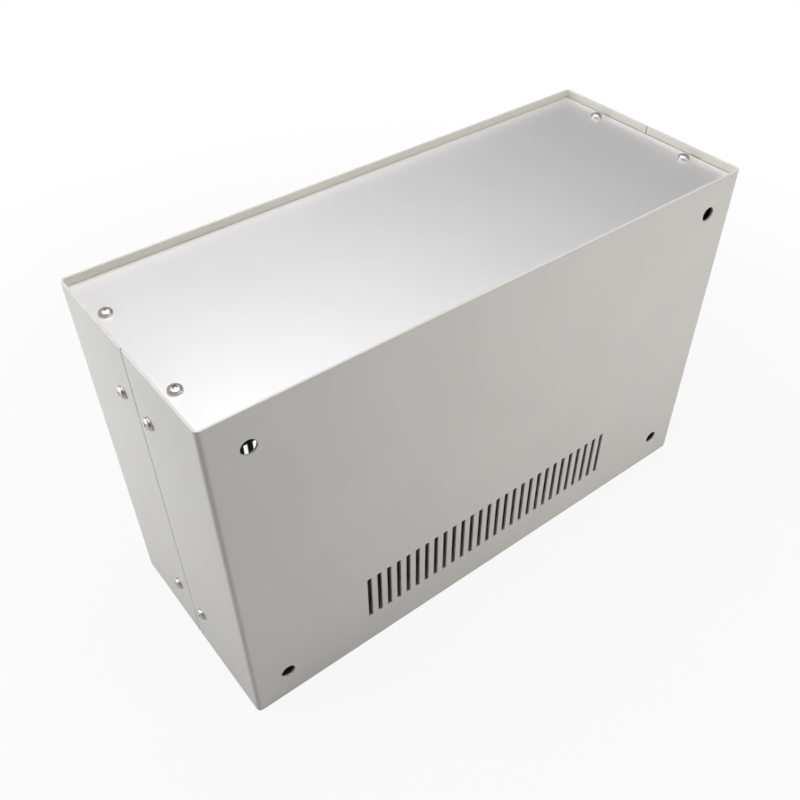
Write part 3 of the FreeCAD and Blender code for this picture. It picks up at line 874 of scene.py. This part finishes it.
def recess_cutter(sizes):
    """A tapering cross, from above the crown down to the floor of the recess."""
    mouth_up = RECESS_ABOVE / sizes.recess_depth
    rings = []
    for share, height in (
        (1 + mouth_up, sizes.head_height + RECESS_ABOVE),
        (0, sizes.head_height - sizes.recess_depth),
    ):
        tip = (sizes.recess_floor + (sizes.recess_length - sizes.recess_floor) * share) / 2
        arm = (sizes.recess_floor_arm + (sizes.recess_arm - sizes.recess_floor_arm) * share) / 2
        quarter = ((tip, -arm), (tip, arm), (arm, arm))
        rings.append([
            (Matrix.Rotation(math.pi / 2 * turn, 2) @ Vector(corner)).to_tuple() + (height,)
            for turn in range(4) for corner in quarter
        ])
    count = len(rings[0])
    walls = [
        (step, step + count, (step + 1) % count + count, (step + 1) % count)
        for step in range(count)
    ]
    mesh = bpy.data.meshes.new("cutter")
    mesh.from_pydata(sum(rings, []), [], [
        *walls, tuple(range(count)), tuple(reversed(range(count, 2 * count))),
    ])
    return bpy.data.objects.new("cutter", mesh)


def make_screws(name, material, sizes, places):
    """Threaded pan-head screws with a cross recess, at places with their turns."""
    tree = Solid(name)
    points = [(radius, height, 0) for radius, height in screw_profile(sizes)]
    profile = tree.geometry_of("Profile", corner_curve(points, closed=False))
    pitch = tree.setting("Thread pitch", sizes.thread_pitch)
    depth = tree.setting("Thread depth", sizes.thread_depth)
    thread_end = tree.setting("Thread end", sizes.screw_tip - sizes.screw_length)

    rows = len(points)
    mesh, column, row = tree.grid(SCREW_COLUMNS + 1, rows)
    # Columns run clockwise, so that the faces look outwards.
    angle = column % SCREW_COLUMNS * (-2 * math.pi / SCREW_COLUMNS)
    radius, height, flat = tree.parts(tree.sample(profile, tree.position, row))
    # From 0 at a crest to 1 at a root and back, once in a pitch along the helix.
    groove = abs((height / pitch - angle / (2 * math.pi)) % 1 - 0.5) * 2
    threaded = (height < -SAME_PLACE) * (height > thread_end + SAME_PLACE)
    radius = radius - groove * depth * threaded
    around = tree.combine(radius * angle.math("COSINE"), radius * angle.math("SINE"), height)
    turned = tree.welded(tree.moved(mesh, position=around))
    recessed = tree.cut(turned, tree.geometry_of("Recess", recess_cutter(sizes)))
    screws = tree.repeated(recessed, tree.geometry_of("Places", place_points(places)))
    return tree.make(name, screws, material)


class CASE_OT_screws(Operator):
    """Make the screws of the panels and of the two short sides"""

    bl_idname = "case.screws"
    bl_label = "Make the Screws"

    def execute(self, context):
        sizes = context.scene.case_sizes
        nickel = nickel_plate(context.scene.case_finish)
        out = sizes.case_length / 2 - sizes.panel_screw_from_side
        spread = sizes.panel_screw_spread / 2
        front = sizes.case_height - sizes.panel_setback
        across = sizes.side_screw_spread / 2
        low = sizes.side_screw_from_end
        high = sizes.case_height - low
        end = sizes.case_length / 2
        panel_places = [(x, y) for x in (-out, out) for y in (-spread, spread)]
        side_places = [(y, z) for z in (low, high) for y in (-across, across)]
        groups = (
            ("front_panel_screw", "X", 0, [(x, y, front) for x, y in panel_places]),
            ("rear_panel_screw", "X", 180, [(x, y, sizes.panel_setback) for x, y in panel_places]),
            ("left_side_screw", "Y", -90, [(-end, y, z) for y, z in side_places]),
            ("right_side_screw", "Y", 90, [(end, y, z) for y, z in side_places]),
        )
        turn = 0
        for name, axis, tilt, places in groups:
            facing = Matrix.Rotation(math.radians(tilt), 3, axis)
            turned = []
            for place in places:
                turn += RECESS_TURN_STEP
                spin = Matrix.Rotation(math.radians(turn), 3, "Z")
                turned.append((place, (facing @ spin).to_euler()))
            screws = make_screws(name + "s", nickel, sizes, turned)
            nodes = [f"{name}_{count}" for count in range(1, len(places) + 1)]
            hand_over(screws, "screw_nickel", *nodes)
        return {"FINISHED"}


# Stage

# Square lamps, by name: place, side, colour and the setting with its power. They face the case.
SOFTBOXES = (
    ("left_softbox", (-0.55, 0.29, 0.26), 0.35, (0.99, 1, 1.04), "left_light"),
    ("right_softbox", (0.22, -0.5, 0.2), 0.3, (1, 1, 1), "right_light"),
    ("top_softbox", (0, -0.1, 1.1), 0.8, (1, 1, 0.97), "top_light"),
    ("back_softbox", (0, 0.3, 1.1), 0.8, (0.99, 0.99, 1.03), "back_light"),
)
LAMP_AIM = (0, 0, 0.1)

# Half the side of the square floor.
FLOOR_REACH = 6

# The studio's back wall glows: the direction of its middle, how bright it is and how focused.
GLOW_TOWARDS = (0, 1, 0.4)
GLOW_STRENGTH = 0.2
GLOW_FOCUS = 4

# The camera sees the floor as plain white from WHITE_START away. Nearer, up to SHADOW_END, only
# this share of it is plain white, so that the shadow of the case shows.
WHITE_BY_CASE = 0.9
SHADOW_END = 0.2
WHITE_START = 0.55

# The width of the camera's sensor, in millimetres.
SENSOR = 36
CAMERA_PLACE = (-0.2286, -0.2791, 0.4072)
CAMERA_AIM = (-0.0321, -0.0234, 0.095)
CAMERA_ROLL_DEGREES = -0.475
CAMERA_SHIFT = (-0.0044, 0.0372)


def look_from(place, aim, roll_degrees=0):
    """The matrix of a camera or lamp at a place, looking at another, turned about its own axis."""
    back = (Vector(place) - Vector(aim)).normalized()
    turned = back.to_track_quat("Z", "Y").to_matrix().to_4x4()
    roll = Matrix.Rotation(math.radians(roll_degrees), 4, "Z")
    return Matrix.Translation(place) @ turned @ roll


class CASE_OT_stage(Operator):
    """Set up the floor, the studio's light and the camera"""

    bl_idname = "case.stage"
    bl_label = "Set Up the Stage"

    def execute(self, context):
        scene = context.scene
        self.add_floor(scene)
        self.add_world(scene)
        self.add_softboxes(scene)
        self.add_camera(scene)
        scene.view_settings.view_transform = "Standard"
        return {"FINISHED"}

    def add_floor(self, scene):
        mesh = bpy.data.meshes.new("studio_floor")
        side = FLOOR_REACH * 2
        corners = [(x, y, 0) for x, y, radius in rectangle_corners(side, side, 0)]
        mesh.from_pydata(corners, [], [tuple(range(len(corners)))])
        floor = bpy.data.objects.new("studio_floor", mesh)
        scene.collection.objects.link(floor)
        material = bpy.data.materials.new("studio_floor")
        material.use_nodes = True
        tree = Tree(material.node_tree)
        tree.nodes.clear()
        place = tree.node("ShaderNodeTexCoord").outputs["Object"]
        away = Value(tree, tree.vector("LENGTH", place, output=1))
        seen = Value(tree, tree.node("ShaderNodeLightPath").outputs["Is Camera Ray"])
        white = WHITE_BY_CASE + tree.ramp(away, SHADOW_END, WHITE_START) * (1 - WHITE_BY_CASE)
        shade = scene.case_stage.floor_shade
        card = tree.node("ShaderNodeBsdfDiffuse", None, {"Color": opaque([shade] * 3)})
        glow = tree.node("ShaderNodeEmission", None, {"Color": WHITE, "Strength": 1})
        mixed = tree.node(
            "ShaderNodeMixShader", None, {0: seen * white, 1: card.outputs[0], 2: glow.outputs[0]}
        )
        tree.node("ShaderNodeOutputMaterial", None, {"Surface": mixed.outputs[0]})
        mesh.materials.append(material)

    def add_world(self, scene):
        world = bpy.data.worlds.new("studio")
        scene.world = world
        world.use_nodes = True
        tree = Tree(world.node_tree)
        tree.nodes.clear()
        direction = tree.node("ShaderNodeTexCoord").outputs["Generated"]
        middle = tuple(Vector(GLOW_TOWARDS).normalized())
        facing = Value(tree, tree.vector("DOT_PRODUCT", direction, middle, output=1))
        glow = facing.math("MAXIMUM", 0).math("POWER", GLOW_FOCUS) * GLOW_STRENGTH
        seen = tree.node("ShaderNodeLightPath").outputs["Is Camera Ray"]
        colour = tree.blend(seen, glow + scene.case_stage.room_light, WHITE)
        background = tree.node("ShaderNodeBackground", None, {"Color": colour, "Strength": 1})
        tree.node("ShaderNodeOutputWorld", None, {"Surface": background.outputs[0]})

    def add_softboxes(self, scene):
        for name, place, side, colour, strength in SOFTBOXES:
            data = bpy.data.lights.new(name, "AREA")
            data.size = side
            data.color = colour
            data.energy = getattr(scene.case_stage, strength)
            lamp = bpy.data.objects.new(name, data)
            lamp.matrix_world = look_from(place, LAMP_AIM)
            scene.collection.objects.link(lamp)

    def add_camera(self, scene):
        data = bpy.data.cameras.new("photo_camera")
        data.sensor_width = SENSOR
        data.lens = scene.case_stage.focal_length
        data.shift_x, data.shift_y = CAMERA_SHIFT
        camera = bpy.data.objects.new("photo_camera", data)
        camera.matrix_world = look_from(CAMERA_PLACE, CAMERA_AIM, CAMERA_ROLL_DEGREES)
        scene.collection.objects.link(camera)
        scene.camera = camera


# Add-on

STEPS = (CASE_OT_shells, CASE_OT_panels, CASE_OT_brackets, CASE_OT_screws, CASE_OT_stage)
SETTINGS = {"case_sizes": CaseSizes, "case_finish": CaseFinish, "case_stage": CaseStage}


class CASE_PT_sidebar(Panel):
    """The steps that build the case, and their settings"""

    bl_idname = "CASE_PT_sidebar"
    bl_label = "Instrument Case"
    bl_space_type = "VIEW_3D"
    bl_region_type = "UI"
    bl_category = "Instrument Case"

    def draw(self, context):
        for step in STEPS:
            self.layout.operator(step.bl_idname)
        for name, group in SETTINGS.items():
            box = self.layout.box()
            for setting in group.__annotations__:
                box.prop(getattr(context.scene, name), setting)


CLASSES = (*SETTINGS.values(), *STEPS, CASE_PT_sidebar)


def register():
    for each in CLASSES:
        bpy.utils.register_class(each)
    for name, group in SETTINGS.items():
        setattr(bpy.types.Scene, name, PointerProperty(type=group))


def unregister():
    for name in SETTINGS:
        delattr(bpy.types.Scene, name)
    for each in reversed(CLASSES):
        bpy.utils.unregister_class(each)


def main():
    register()
    bpy.ops.case.shells()
    bpy.ops.case.panels()
    bpy.ops.case.brackets()
    bpy.ops.case.screws()
    bpy.ops.case.stage()


if __name__ == "__main__":
    main()
